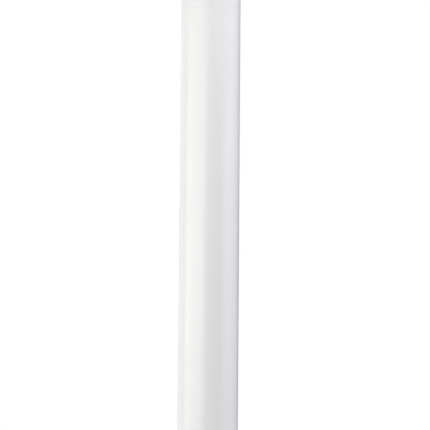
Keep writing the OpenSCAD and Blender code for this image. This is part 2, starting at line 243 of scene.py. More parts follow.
def block(low, high):
    """A box mesh between two corners, used only as a cutter."""
    mesh = bpy.data.meshes.new("block")
    work = bmesh.new()
    bmesh.ops.create_cube(work, size=1)
    size = Vector(high) - Vector(low)
    middle = (Vector(high) + Vector(low)) / 2
    bmesh.ops.transform(work, matrix=Matrix.LocRotScale(middle, None, size), verts=work.verts)
    work.to_mesh(mesh)
    work.free()
    return mesh


def rod(r, start, end):
    """A round cutter between two points."""
    along = Vector(end) - Vector(start)
    outline = [(0, 0), (r, 0), (r, along.length), (0, along.length)]
    mesh = lathe(outline, 64, closed=False)
    spin = along.to_track_quat("Z", "Y").to_matrix().to_4x4()
    return turned(mesh, Matrix.Translation(start) @ spin)


# Materials


class Nodes:
    """Short calls that build a node tree. An input takes a number, a colour or another node's output."""

    def __init__(self, tree):
        self.tree = tree

    def feed(self, socket, value):
        if isinstance(value, bpy.types.NodeSocket):
            self.tree.links.new(value, socket)
        else:
            socket.default_value = value

    def node(self, kind, settings=None, **inputs):
        made = self.tree.nodes.new(kind)
        for key, value in (settings or {}).items():
            setattr(made, key, value)
        for key, value in inputs.items():
            self.feed(made.inputs[key.replace("_", " ")], value)
        return made

    def math(self, operation, a, b=0.0, clamp=False):
        made = self.node("ShaderNodeMath", settings={"operation": operation, "use_clamp": clamp})
        self.feed(made.inputs[0], a)
        self.feed(made.inputs[1], b)
        return made.outputs[0]

    def vector(self, operation, a, b=(0, 0, 0)):
        made = self.node("ShaderNodeVectorMath", settings={"operation": operation})
        self.feed(made.inputs[0], a)
        self.feed(made.inputs[1], b)
        return made.outputs["Value" if operation in ("DOT_PRODUCT", "LENGTH") else "Vector"]

    def span(self, value, low, high, start=0.0, end=1.0, smooth=False):
        """Maps low..high to start..end and stops there."""
        kind = "SMOOTHSTEP" if smooth else "LINEAR"
        made = self.node("ShaderNodeMapRange", settings={"interpolation_type": kind}, Value=value)
        for key, number in (("From Min", low), ("From Max", high), ("To Min", start), ("To Max", end)):
            made.inputs[key].default_value = number
        return made.outputs["Result"]

    def mix(self, share, colour_a, colour_b):
        made = self.node("ShaderNodeMix", settings={"data_type": "RGBA"})
        self.feed(made.inputs[0], share)
        for socket, colour in ((made.inputs[6], colour_a), (made.inputs[7], colour_b)):
            if isinstance(colour, tuple):
                colour = (*colour, 1.0)
            self.feed(socket, colour)
        return made.outputs[2]


class Look(Nodes):
    """A node material with one Principled shader, and short calls for the nodes that feed it."""

    def __init__(self, name, colour, roughness, metallic=0.0):
        self.material = bpy.data.materials.new(name)
        self.material.use_nodes = True
        super().__init__(self.material.node_tree)
        self.shader = self.tree.nodes["Principled BSDF"]
        self.set("Base Color", (*colour, 1.0))
        self.set("Roughness", roughness)
        self.set("Metallic", metallic)
        self.place = self.node("ShaderNodeTexCoord").outputs["Object"]
        self.relief = None

    def set(self, name, value):
        """Gives a shader input a value or links a node's output to it."""
        self.feed(self.shader.inputs[name], value)

    def stretch(self, x, y, z):
        """Object coordinates scaled along each axis, for streaks and rings."""
        return self.node("ShaderNodeMapping", Vector=self.place, Scale=(x, y, z)).outputs[0]

    def noise(self, size, detail=3.0, roughness=0.55, place=None):
        """Noise from 0 to 1 with features of about the given size in metres."""
        place = place or self.place
        kind = "ShaderNodeTexNoise"
        made = self.node(kind, Vector=place, Scale=1.0 / size, Detail=detail, Roughness=roughness)
        return made.outputs["Fac"]

    def height(self):
        """Height along the cane in metres."""
        return self.node("ShaderNodeSeparateXYZ", Vector=self.place).outputs["Z"]

    def edge(self, size):
        """About 1 on edges sharper than `size`, 0 on flats."""
        soft = self.node("ShaderNodeBevel", settings={"samples": 4}, Radius=size).outputs[0]
        plain = self.node("ShaderNodeNewGeometry").outputs["Normal"]
        return self.span(self.vector("DOT_PRODUCT", soft, plain), 0.97, 0.75)

    def bump(self, height, depth, strength=1.0):
        """Adds relief of a true depth in metres on top of any relief there already."""
        made = self.node("ShaderNodeBump", Height=height, Distance=depth, Strength=strength)
        if self.relief:
            self.feed(made.inputs["Normal"], self.relief)
        self.relief = made.outputs["Normal"]
        self.set("Normal", self.relief)


FILM_RIB_PITCH = 0.75 * MM


def film_look(name, colour, dirt, scuffed):
    """Satin reflective film: fine rings, a faint bead grain, long sliding marks and a little dirt, with
    more scuffs toward the ground."""
    look = Look(name, colour, 0.34)
    look.set("Coat Weight", 0.6)
    look.set("Coat Roughness", 0.18)
    clouds = look.noise(18 * MM, detail=4)
    rings = look.math("SINE", look.math("MULTIPLY", look.height(), TURN / FILM_RIB_PITCH))
    patch = look.span(look.noise(22 * MM, detail=2), 0.45, 0.62)
    faint_rings = look.math("MULTIPLY", rings, patch)
    grain = look.noise(0.16 * MM, detail=1)
    marks = look.noise(1.0, detail=3, place=look.stretch(900, 900, 14))
    mark_mask = look.span(marks, 0.60, 0.72)
    scuffs = look.noise(1.0, detail=6, roughness=0.75, place=look.stretch(900, 900, 260))
    low_down = look.span(look.height(), 0.24, 0.05, -0.15, 0.12)
    scuff_mask = look.span(look.math("ADD", scuffs, low_down), 0.63, 0.71)
    tone = look.mix(look.span(clouds, 0.3, 0.7, 0.0, 0.10), colour, dirt)
    tone = look.mix(look.math("MULTIPLY", mark_mask, 0.08), tone, dirt)
    tone = look.mix(look.math("MULTIPLY", scuff_mask, 0.6), tone, scuffed)
    look.set("Base Color", tone)
    rough = look.span(clouds, 0.25, 0.75, 0.30, 0.38)
    rough = look.math("ADD", rough, look.math("MULTIPLY", mark_mask, 0.10))
    look.set("Roughness", look.math("ADD", rough, look.math("MULTIPLY", scuff_mask, 0.25)))
    look.bump(faint_rings, 0.007 * MM)
    look.bump(grain, 0.0025 * MM)
    return look.material


def metal_look(name, colour, roughness, relief=0.002 * MM, turned_marks=True):
    """Turned or drawn metal: fine tool lines, cloudy roughness and small scratches."""
    look = Look(name, colour, roughness, metallic=1.0)
    drawn_out = look.stretch(60, 60, 9000) if turned_marks else look.stretch(6000, 6000, 60)
    lines = look.noise(1.0, detail=2, place=drawn_out)
    clouds = look.noise(6 * MM, detail=4)
    look.set("Base Color", look.mix(clouds, colour, tuple(c * 0.82 for c in colour)))
    spread = look.span(clouds, 0.3, 0.7, roughness * 0.8, roughness * 1.25)
    look.set("Roughness", look.math("ADD", spread, look.math("MULTIPLY", lines, 0.08)))
    look.bump(lines, relief)
    return look.material


def plastic_look(name, colour, roughness, relief=0.008 * MM, wear=0.35):
    """Moulded plastic: fine spark grain, cloudy sheen, and edges rubbed lighter and smoother."""
    look = Look(name, colour, roughness)
    look.set("Specular IOR Level", 0.45)
    clouds = look.noise(9 * MM, detail=4)
    fine = look.noise(0.35 * MM, detail=2)
    scratches = look.noise(1.0, detail=2, place=look.stretch(300, 2600, 500))
    lighter = tuple(min(1.0, c * 1.8 + 0.05) for c in colour)
    darker = tuple(c * 0.78 for c in colour)
    rubbed = look.math("MULTIPLY", look.edge(0.5 * MM), wear)
    scratch_mask = look.math("MULTIPLY", look.span(scratches, 0.66, 0.76), wear * 0.5)
    tone = look.mix(look.span(clouds, 0.35, 0.7), colour, darker)
    tone = look.mix(rubbed, tone, lighter)
    tone = look.mix(scratch_mask, tone, lighter)
    look.set("Base Color", tone)
    rough = look.span(clouds, 0.3, 0.7, roughness * 0.85, min(1.0, roughness * 1.15))
    look.set("Roughness", look.math("SUBTRACT", rough, look.math("MULTIPLY", rubbed, 0.15), clamp=True))
    look.bump(fine, relief)
    return look.material


def rubber_look(name):
    """Matt black rubber, greyer with dust in its grooves and smoother where the palm polishes it."""
    base, dust = (0.022, 0.022, 0.024), (0.085, 0.083, 0.08)
    look = Look(name, base, 0.62)
    look.set("Specular IOR Level", 0.35)
    clouds = look.noise(25 * MM, detail=5)
    fine = look.noise(0.25 * MM, detail=2)
    specks = look.span(look.noise(0.8 * MM, detail=4), 0.56, 0.72)
    dusty = look.math("MULTIPLY", specks, look.span(clouds, 0.4, 0.75, 0.1, 0.6))
    point = look.node("ShaderNodeNewGeometry").outputs["Pointiness"]
    cuts = look.math("MULTIPLY", look.span(point, 0.498, 0.47), look.span(clouds, 0.3, 0.65, 0.25, 0.9))
    crowns = look.span(point, 0.502, 0.53)
    tone = look.mix(dusty, base, dust)
    tone = look.mix(cuts, tone, (0.075, 0.072, 0.068))
    look.set("Base Color", look.mix(crowns, tone, (0.035, 0.035, 0.037)))
    rough = look.span(clouds, 0.3, 0.7, 0.50, 0.72)
    look.set("Roughness", look.math("SUBTRACT", rough, look.math("MULTIPLY", crowns, 0.22)))
    look.bump(fine, 0.012 * MM)
    return look.material


def nylon_look(name):
    """White nylon of the rolling tip, scuffed grey where it rolls and meets the ground."""
    base, scuff = (0.80, 0.80, 0.77), (0.30, 0.29, 0.27)
    look = Look(name, base, 0.42)
    look.set("Subsurface Weight", 0.15)
    look.set("Subsurface Radius", (0.004, 0.004, 0.003))
    look.set("Subsurface Scale", 0.3)
    rolled = look.noise(1.0, detail=5, roughness=0.65, place=look.stretch(110, 110, 1500))
    low_part = look.span(look.height(), 18 * MM, 0.0)
    scuffed = look.span(look.math("ADD", rolled, look.math("MULTIPLY", low_part, 0.30)), 0.60, 0.95)
    look.set("Base Color", look.mix(look.math("MULTIPLY", scuffed, 0.8), base, scuff))
    look.set("Roughness", look.span(rolled, 0.3, 0.8, 0.36, 0.60))
    look.bump(rolled, 0.05 * MM, strength=0.6)
    look.bump(look.noise(0.5 * MM, detail=3), 0.01 * MM)
    return look.material


BRAID_STRANDS = 8
BRAID_PITCH = 1.9 * MM
BRAID_RELIEF = 0.24 * MM


def cord_look(name):
    """Braided cord: strands that cross over and under, fibres that run along each, and painted shade, near
    black, in the creases where the strands meet.
    """
    dark, light = (0.012, 0.012, 0.014), (0.085, 0.085, 0.092)
    look = Look(name, dark, 0.8)
    look.set("Sheen Weight", 0.4)
    look.set("Sheen Roughness", 0.45)
    look.set("Sheen Tint", (0.35, 0.35, 0.38, 1.0))
    places = look.node("ShaderNodeUVMap", settings={"uv_map": "along"}).outputs["UV"]
    parts = look.node("ShaderNodeSeparateXYZ", Vector=places).outputs
    turn = look.math("MULTIPLY", parts["X"], BRAID_STRANDS)
    run = look.math("DIVIDE", parts["Y"], BRAID_PITCH)
    rising, falling = look.math("ADD", turn, run), look.math("SUBTRACT", turn, run)
    left = look.math("SINE", look.math("MULTIPLY", rising, math.pi))
    right = look.math("SINE", look.math("MULTIPLY", falling, math.pi))
    both = look.math("MULTIPLY", left, right)
    left_over = look.math("GREATER_THAN", both, 0.0)
    gap = look.math("SUBTRACT", rising, falling)
    across = look.math("ADD", falling, look.math("MULTIPLY", gap, left_over))
    along = look.math("SUBTRACT", rising, look.math("MULTIPLY", gap, left_over))
    thread = look.node("ShaderNodeCombineXYZ")
    look.feed(thread.inputs["X"], look.math("MULTIPLY", across, 11.0))
    look.feed(thread.inputs["Y"], along)
    fibres = look.noise(1.0, detail=2, place=thread.outputs[0])
    # Painted shade: the cord's colour goes near black in the creases where strands meet; the share below is
    # 0 there and 1 away from them.
    outside_painted_crease_shade = look.span(look.math("ABSOLUTE", both), 0.0, 0.35)
    tone = look.mix(look.span(fibres, 0.3, 0.7), dark, light)
    look.set("Base Color", look.mix(outside_painted_crease_shade, (0.004, 0.004, 0.005), tone))
    look.set("Roughness", look.span(fibres, 0.2, 0.8, 0.62, 0.9))
    look.bump(fibres, 0.05 * MM)
    look.bump(look.noise(0.12 * MM, detail=2), 0.02 * MM)
    return look.material


FLOOR_R = 14.0
FLOOR_THICK = 2 * MM
FLOOR_GAP = 0.2 * MM
# The floor's own glow grows from nothing at the near distance to its full strength at the far one
GLOW_NEAR = 1.3
GLOW_FAR = 5.5
GLOW_FULL = 0.35


def floor_look(name):
    """Pale studio floor with the least cloudiness, which fades into the white background."""
    look = Look(name, (0.86, 0.86, 0.86), 0.7)
    clouds = look.noise(0.6, detail=3)
    far = look.span(look.vector("LENGTH", look.place), GLOW_NEAR, GLOW_FAR)
    pale = look.mix(clouds, (0.90, 0.90, 0.90), (0.88, 0.88, 0.885))
    look.set("Base Color", pale)
    look.set("Specular IOR Level", 0.1)
    look.set("Emission Color", (1, 1, 1, 1))
    camera_ray = look.node("ShaderNodeLightPath").outputs["Is Camera Ray"]
    seen_glow = look.math("MULTIPLY", far, camera_ray)
    look.set("Emission Strength", look.math("MULTIPLY", seen_glow, GLOW_FULL))
    look.bump(look.noise(3 * MM, detail=2), 0.05 * MM)
    return look.material


WHITE_FILM = film_look("satin_white_film", (0.90, 0.90, 0.895), (0.70, 0.70, 0.70), (0.55, 0.54, 0.52))
RED_FILM = film_look("satin_red_film", (0.50, 0.010, 0.012), (0.26, 0.02, 0.02), (0.15, 0.055, 0.05))
TUBE_METAL = metal_look("drawn_aluminium", (0.80, 0.81, 0.82), 0.32, turned_marks=False)
STEEL = metal_look("turned_steel", (0.56, 0.57, 0.58), 0.28)
BEARING_STEEL = metal_look("polished_steel", (0.70, 0.71, 0.73), 0.12, relief=0.0005 * MM)
RUBBER = rubber_look("moulded_rubber")
BLACK_PLASTIC = plastic_look("moulded_black", (0.022, 0.022, 0.024), 0.42)
COLLAR_PLASTIC = plastic_look("moulded_charcoal", (0.045, 0.046, 0.05), 0.40)
EXPANDER_PLASTIC = plastic_look("natural_nylon", (0.78, 0.75, 0.66), 0.45, wear=0.1)
CONE_PLASTIC = plastic_look("orange_nylon", (0.80, 0.28, 0.04), 0.38, wear=0.15)
PLUG_PLASTIC = plastic_look("grey_nylon", (0.25, 0.27, 0.30), 0.45, wear=0.15)
CAGE_NYLON = plastic_look("tan_nylon", (0.45, 0.33, 0.18), 0.5, wear=0.1)
BUTTON_PLASTIC = plastic_look("polished_black", (0.05, 0.05, 0.055), 0.25, relief=0.003 * MM)
TIP_NYLON = nylon_look("scuffed_nylon")
CORD_FABRIC = cord_look("braided_cord")


# Tubes and films

TUBE_WALL = 0.75 * MM
BOND_GAP = 0.02 * MM
SECTIONS = (
    ("upper", "handle"),
    ("second", "second_section"),
    ("third", "third_section"),
    ("lowest", "lowest_section"),
)


def tube_piece(section, body):
    """A drawn tube with deburred ends."""
    node = section + "_tube"
    r = radius(node)
    outline = ring_outline(r, r - TUBE_WALL, bottom(node), top(node))
    mesh = lathe(fillet(outline, 0.15 * MM), 128)
    finish_mesh(node + "_body", mesh, TUBE_METAL, "tube_aluminium", body, node)


def film_piece(section, body):
    """A film wrapped round its tube, with a narrow butt seam down the back."""
    node = section + "_film"
    r_in = radius(section + "_tube") + BOND_GAP
    seam_depth = 0.12 * MM
    seam_half = 0.35 * MM

    def with_seam(angle, r, z):
        off = abs(math.remainder(angle - math.pi / 2, TURN)) * r
        if r > r_in + 0.1 * MM and off < seam_half:
            r -= seam_depth * (1 - off / seam_half)
        return (r * math.cos(angle), r * math.sin(angle), z)

    outline = ring_outline(radius(node), r_in, bottom(node), top(node))
    mesh = lathe(fillet(outline, 0.06 * MM, steps=3), 288, shape=with_seam)
    red = section == "lowest"
    material, slot = (RED_FILM, "red_film") if red else (WHITE_FILM, "white_film")
    finish_mesh(node + "_wrap", mesh, material, slot, body, node)


# Collars

COLLAR_RIBS = 30
COLLAR_RIB_DEPTH = 0.3 * MM
RUN_GAP = 0.06 * MM


def collar_piece(section, below, body):
    """A moulded end collar: a guide lip, a smooth nose and a ribbed band for the fingers."""
    node = section + "_collar"
    low, high, r = bottom(node), top(node), radius(node)
    lip_r = radius(below + "_film") + RUN_GAP
    socket_r = radius(section + "_tube") + BOND_GAP
    socket_z = bottom(section + "_tube")
    band_low, band_high = low + 3.4 * MM, high - 3.6 * MM
    fade = 0.7 * MM

    def with_ribs(angle, r_here, z):
        inside = min(z - band_low, band_high - z) / fade
        share = max(0.0, min(1.0, inside))
        if r_here > r - 1.0 * MM and share > 0:
            wave = 0.5 - 0.5 * math.cos(COLLAR_RIBS * angle)
            r_here -= COLLAR_RIB_DEPTH * share * wave**3
        return (r_here * math.cos(angle), r_here * math.sin(angle), z)

    rows = 16
    band = [(r, band_low + (band_high - band_low) * k / rows) for k in range(rows + 1)]
    nose = [(lip_r, low), (r - 0.8 * MM, low), (r, low + 0.8 * MM)]
    crown = [(r, high - 2.4 * MM), (r - 0.8 * MM, high), (socket_r, high)]
    inner = [(socket_r, socket_z), (lip_r, socket_z)]
    outline = fillet(nose + band[:1], 0.3 * MM, closed=False)[:-1] + band
    outline += fillet(band[-1:] + crown, 0.4 * MM, closed=False)[1:] + inner
    mesh = lathe(outline, COLLAR_RIBS * 10, shape=with_ribs)
    finish_mesh(node + "_ring", mesh, COLLAR_PLASTIC, "collar_plastic", body, node)


# Grip

GRIP_SEGMENTS = 180
GRIP_ROW = 0.55 * MM
GRIP_LIP_L = 9 * MM
GRIP_LOW_R = 11.3 * MM
GRIP_EDGE_R = 2.4 * MM
GRIP_FLAT_Y = 9.9 * MM
GRIP_FLAT_LOW = 22 * MM
GRIP_FLAT_HIGH = 142 * MM
GRIP_CUT_PITCH = 5.2 * MM
GRIP_CUT_DEPTH = 0.45 * MM
GRIP_CUT_HALF = 0.55 * MM
GRIP_CUTS_AROUND = 14
GRIP_RINGS = 3
GRIP_RING_PITCH = 4.2 * MM
GRIP_RING_DEPTH = 0.6 * MM
GRIP_RING_HALF = 0.8 * MM


def grip_outline(length, top_r):
    """Outer outline of the grip as the CAD has it: lip, slow flare, rounded top."""
    lip_r = GRIP_LOW_R + 0.7 * MM
    points = [(lip_r - 1 * MM, 0.0)]
    for k in range(1, 7):
        a = math.radians(15 * k)
        points.append((lip_r - 1 * MM + math.sin(a) * MM, (1 - math.cos(a)) * MM))
    points += [(lip_r, GRIP_LIP_L - 2 * MM), (GRIP_LOW_R, GRIP_LIP_L)]
    flare_l = length - GRIP_EDGE_R - GRIP_LIP_L
    rows = round(flare_l / GRIP_ROW)
    for k in range(1, rows + 1):
        t = k / rows
        points.append((GRIP_LOW_R + (top_r - GRIP_LOW_R) * t * t, GRIP_LIP_L + t * flare_l))
    for k in range(1, 7):
        a = math.radians(15 * k)
        points.append((top_r - GRIP_EDGE_R * (1 - math.cos(a)), length - GRIP_EDGE_R * (1 - math.sin(a))))
    return points


def grip_piece():
    """The moulded grip: crossed rows of cuts, plain bands at both ends and a flat for the finger."""
    low, length = bottom("grip"), top("grip") - bottom("grip")
    bore = radius("upper_tube") + BOND_GAP
    cut_low, cut_high, cut_fade = 16 * MM, length - 22 * MM, 3 * MM
    first_ring = length - 18.5 * MM

    def groove(distance, half):
        return max(0.0, 1 - (distance / half) ** 2)

    def cut_depth(angle, z):
        """Depth of the diamond cuts, or of the three rings above them."""
        if cut_low < z < cut_high:
            fade = min(1.0, (z - cut_low) / cut_fade, (cut_high - z) / cut_fade)
            lane = GRIP_CUTS_AROUND * angle / TURN
            step = z / GRIP_CUT_PITCH
            near = math.inf
            for lean in (lane + step, lane - step):
                near = min(near, abs(lean - round(lean)) * GRIP_CUT_PITCH * 0.72)
            return GRIP_CUT_DEPTH * fade * groove(near, GRIP_CUT_HALF) if near < GRIP_CUT_HALF else 0.0
        for k in range(GRIP_RINGS):
            off = abs(z - first_ring - GRIP_RING_PITCH * k)
            if off < GRIP_RING_HALF:
                return GRIP_RING_DEPTH * groove(off, GRIP_RING_HALF)
        return 0.0

    def shape(angle, r, z):
        flat_share = min(1.0, (z - GRIP_FLAT_LOW) / (10 * MM), (GRIP_FLAT_HIGH - z) / (22 * MM))
        limit = GRIP_FLAT_Y + (1 - max(0.0, flat_share)) * 5 * MM
        on_flat = -r * math.sin(angle) > limit - 0.5 * MM
        if r > bore + 0.5 * MM and not on_flat:
            r -= cut_depth(angle, z)
        y = max(r * math.sin(angle), -limit)
        return (r * math.cos(angle), y, low + z)

    outline = grip_outline(length, radius("grip"))
    outline += [(bore, length), (bore, 0.0)]
    mesh = lathe(outline, GRIP_SEGMENTS, shape=shape)
    finish_mesh("grip_rubber_sleeve", mesh, RUBBER, "grip_rubber", "handle", "grip", smooth_angle=50)


def cap_piece():
    """The domed end cap: a slot for the cord between two ears, and the pin's bore through them."""
    node = "grip_cap"
    pin_low, pin_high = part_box("cord_pin")
    pin_z = (pin_low.z + pin_high.z) / 2
    pin_r = (pin_high.z - pin_low.z) / 2
    base = top("grip")
    height = top(node) - base
    cap_r = radius(node)
    plug_r = radius("upper_tube") - TUBE_WALL - BOND_GAP
    dome_r = 17 * MM
    centre = base + height - dome_r
    start = math.acos(cap_r / dome_r)
    steps = 16
    round_l = 2.2 * MM
    outline = [(0, bottom(node)), (plug_r - 0.6 * MM, bottom(node)), (plug_r, bottom(node) + 0.6 * MM)]
    outline += [(plug_r, base), (cap_r - 0.4 * MM, base), (cap_r, base + 0.4 * MM)]
    rim = (cap_r, centre + dome_r * math.sin(start))
    side = (cap_r, rim[1] - round_l)
    first = start + round_l / dome_r
    dome = [first + (math.pi / 2 - first) * k / steps for k in range(steps)]
    arch = [(dome_r * math.cos(a), centre + dome_r * math.sin(a)) for a in dome]
    outline += fillet([side, rim, arch[0]], round_l, closed=False, steps=8) + arch[1:]
    outline.append((0.0, top(node)))
    slot_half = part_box("wrist_cord")[1].y + 0.35 * MM
    slot_floor = base + 1.5 * MM
    reach = cap_r + 2 * MM
    slot = block((-reach, -slot_half, slot_floor), (reach, slot_half, base + 2 * height))
    bore = rod(pin_r + BOND_GAP, (0, -reach, pin_z), (0, reach, pin_z))
    mesh = carved(lathe(outline, 128, closed=False), [slot, bore], bevel=0.45 * MM)
    finish_mesh("grip_cap_dome", mesh, BLACK_PLASTIC, "black_plastic", "handle", node, smooth_angle=40)


def pin_piece():
    """The cross pin, with rounded ends."""
    low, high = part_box("cord_pin")
    r, z = (high.z - low.z) / 2, (high.z + low.z) / 2
    outline = fillet([(0, low.y), (r, low.y), (r, high.y), (0, high.y)], 0.5 * MM, closed=False)
    mesh = lathe(outline, 64, closed=False)
    turned(mesh, Matrix.Translation((0, 0, z)) @ Matrix.Rotation(-math.pi / 2, 4, "X"))
    finish_mesh("cord_pin_steel", mesh, STEEL, "steel", "handle", "cord_pin")


# Wrist cord

CORD_BEND_R = 5 * MM
FLARE_R = 30 * MM
FLARE_ANGLE = math.radians(20)
LOOP_R = 26 * MM
CORD_STEP = 0.25 * MM
CORD_SIDES = 48


def arc(centre, r, start, end):
    """A function of distance along an arc in the XZ plane, and the arc's length."""
    length = abs(end - start) * r

    def at(s):
        a = start + (end - start) * s / length
        return Vector((centre[0] + r * math.cos(a), 0, centre[1] + r * math.sin(a)))

    return at, length


def line(start, end):
    a, b = Vector((start[0], 0, start[1])), Vector((end[0], 0, end[1]))
    return (lambda s: a.lerp(b, s / (b - a).length)), (b - a).length


def cord_path():
    """The cord's middle line, from its end inside the splice sleeve round to its other end."""
    low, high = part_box("wrist_cord")
    cord_r = high.y
    pin_low, pin_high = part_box("cord_pin")
    pin_z = (pin_low.z + pin_high.z) / 2
    wrap_r = high.x - cord_r
    lock_low, lock_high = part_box("cord_lock_body")
    drop = (lock_low.x + lock_high.x) / 2
    inner_x, outer_x = drop + wrap_r, drop - wrap_r
    bend = (inner_x + CORD_BEND_R, pin_z - wrap_r - CORD_BEND_R)
    split_z = lock_low.z - 1 * MM
    flare_end = (outer_x - FLARE_R * (1 - math.cos(FLARE_ANGLE)), split_z - FLARE_R * math.sin(FLARE_ANGLE))
    loop = (inner_x - LOOP_R, low.z + cord_r + LOOP_R)
    loop_start = (loop[0] - LOOP_R * math.cos(FLARE_ANGLE), loop[1] + LOOP_R * math.sin(FLARE_ANGLE))
    sleeve_low, sleeve_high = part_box("cord_splice_sleeve")
    join_z = (sleeve_low.z + sleeve_high.z) / 2
    half_turn = math.pi / 2
    legs = [
        line((inner_x, join_z + 0.2 * MM), (inner_x, bend[1])),
        arc(bend, CORD_BEND_R, math.pi, half_turn),
        line((bend[0], pin_z - wrap_r), (0, pin_z - wrap_r)),
        arc((0, pin_z), wrap_r, -half_turn, half_turn),
        line((0, pin_z + wrap_r), (bend[0], pin_z + wrap_r)),
        arc(bend, CORD_BEND_R + 2 * wrap_r, half_turn, math.pi),
        line((outer_x, bend[1]), (outer_x, split_z)),
        arc((outer_x - FLARE_R, split_z), FLARE_R, 0, -FLARE_ANGLE),
        line(flare_end, loop_start),
        arc(loop, LOOP_R, math.pi - FLARE_ANGLE, TURN),
        line((inner_x, loop[1]), (inner_x, join_z - 0.2 * MM)),
    ]
    points = []
    for at, length in legs:
        count = max(2, round(length / CORD_STEP))
        points += [at(length * k / count) for k in range(count)]
    at, length = legs[-1]
    points.append(at(length))
    return points, cord_r


def braid_radius(cord_r):
    """Radius of a braided cord: left and right strands that pass over and under each other."""

    def radius_at(distance, angle):
        turn = BRAID_STRANDS * angle / TURN
        run = distance / BRAID_PITCH
        left = math.sin(math.pi * (turn + run))
        right = math.sin(math.pi * (turn - run))
        across, along = (left, right) if left * right > 0 else (right, left)
        height = abs(across) ** 0.8 * abs(along) ** 0.35
        return cord_r - BRAID_RELIEF * (1 - height)

    return radius_at


def cord_piece():
    points, cord_r = cord_path()
    mesh = sweep(points, Vector((0, 1, 0)), CORD_SIDES, braid_radius(cord_r))
    finish_mesh("wrist_cord_braid", mesh, CORD_FABRIC, "cord_fabric", "wrist_cord", "wrist_cord", 80)


def splice_piece():
    """A crimped aluminium sleeve over the cord's two ends."""
    node = "cord_splice_sleeve"
    low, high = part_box(node)
    r, x, length = high.y, (low.x + high.x) / 2, high.z - low.z
    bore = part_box("wrist_cord")[1].y + BOND_GAP
    crimp_half, crimp_depth, edge = 1.3 * MM, 0.35 * MM, 0.5 * MM
    rows = 48
    outline = []
    for k in range(rows + 1):
        z = length * k / rows
        dent = 0.0
        for place in (0.28, 0.5, 0.72):
            off = min(1.0, abs(z - place * length) / crimp_half)
            dent = max(dent, crimp_depth * (0.5 + 0.5 * math.cos(math.pi * off)))
        ease = min(z, length - z, edge)
        lip = edge - math.sqrt(edge**2 - (edge - ease) ** 2)
        outline.append((r - dent - lip, z))
    outline += [(bore, length), (bore, 0)]
    mesh = lathe(outline, 64)
    turned(mesh, Matrix.Translation((x, 0, low.z)))
    finish_mesh("cord_splice_crimp", mesh, TUBE_METAL, "tube_aluminium", "wrist_cord", node)


# Cord lock

LOCK_BORE_R = 6.3 * MM
LOCK_FLUTES = 12


def lock_frame():
    """Axis place and strand places of the cord lock."""
    low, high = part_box("cord_lock_body")
    x, z = (low.x + high.x) / 2, (low.z + high.z) / 2
    wrap_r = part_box("wrist_cord")[1].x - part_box("wrist_cord")[1].y
    along_y = Matrix.Translation((x, 0, z)) @ Matrix.Rotation(-math.pi / 2, 4, "X")
    return low, high, z, (x + wrap_r, x - wrap_r), along_y


def lock_body_piece():
    """A barrel with shallow flutes, open at the front for the button."""
    low, high, z, strands, along_y = lock_frame()
    r = (high.x - low.x) / 2
    front, back = low.y, high.y
    back_wall, rim = 2 * MM, 1.2 * MM
    flute_low, flute_high = front + 4 * MM, back - 5 * MM

    def with_flutes(angle, r_here, y):
        share = max(0.0, min(1.0, (y - flute_low) / MM, (flute_high - y) / MM))
        if r_here > r - MM:
            r_here -= 0.35 * MM * share * (0.5 - 0.5 * math.cos(LOCK_FLUTES * angle)) ** 2
        return (r_here * math.cos(angle), r_here * math.sin(angle), y)

    rows = 20
    side_low, side_high = front + rim, back - 2 * rim
    side = [(r, side_low + (side_high - side_low) * k / rows) for k in range(rows + 1)]
    mouth = fillet([(LOCK_BORE_R, front), (r - rim, front)] + side[:1], rim / 2, closed=False)
    heel = fillet(side[-1:] + [(r - 2 * rim, back), (0, back)], 1.0 * MM, closed=False)
    outline = [(0, back - back_wall), (LOCK_BORE_R, back - back_wall)] + mouth[:-1] + side + heel[1:]
    barrel = turned(lathe(outline, 120, closed=False, shape=with_flutes), along_y)
    hole_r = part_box("wrist_cord")[1].y + 0.2 * MM
    holes = [rod(hole_r, (x, 0, z - 2 * r), (x, 0, z + 2 * r)) for x in strands]
    mesh = carved(barrel, holes)
    node = "cord_lock_body"
    finish_mesh("cord_lock_barrel", mesh, BLACK_PLASTIC, "black_plastic", "cord_lock", node, 40)


def lock_button_piece():
    """The button: a plunger with two cord slots and a ringed thumb face."""
    low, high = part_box("cord_lock_button")
    _, _, z, strands, along_y = lock_frame()
    r = (high.x - low.x) / 2
    front, back = low.y, high.y
    face = [(0, front + 0.5 * MM)]
    for k in range(3):
        ring_r = (1.4 + 1.5 * k) * MM
        face += [(ring_r - 0.5 * MM, front + 0.5 * MM), (ring_r - 0.2 * MM, front)]
        face += [(ring_r + 0.4 * MM, front), (ring_r + 0.7 * MM, front + 0.5 * MM)]
    face += [(r - 0.9 * MM, front + 0.1 * MM), (r, front + 1.0 * MM), (r, back - 0.3 * MM)]
    face += [(r - 0.3 * MM, back), (0, back)]
    plunger = turned(lathe(fillet(face, 0.25 * MM, closed=False), 96, closed=False), along_y)
    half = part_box("wrist_cord")[1].y + 0.1 * MM
    press = 3 * MM
    slots = [block((x - half, -half - press, z - 2 * r), (x + half, half, z + 2 * r)) for x in strands]
    mesh = carved(plunger, slots)
    button = "cord_lock_button"
    finish_mesh("cord_lock_plunger", mesh, BUTTON_PLASTIC, "button_plastic", button, button, 40)


def lock_spring_piece():
    """A round-wire coil behind the button."""
    low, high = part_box("cord_lock_spring")
    *_, along_y = lock_frame()
    wire_r = 0.45 * MM
    coil_r = (high.x - low.x) / 2 - wire_r
    turns, steps = 4, 40
    rise = high.y - low.y - 2 * wire_r
    points = []
    for k in range(turns * steps + 1):
        a = TURN * k / steps
        climb = low.y + wire_r + rise * k / (turns * steps)
        points.append(Vector((coil_r * math.cos(a), coil_r * math.sin(a), climb)))
    mesh = sweep(points, Vector((0, 0, 1)), 14, lambda distance, angle: wire_r)
    turned(mesh, along_y)
    finish_mesh("cord_lock_coil", mesh, STEEL, "steel", "cord_lock_button", "cord_lock_spring", 60)


# Rolling tip


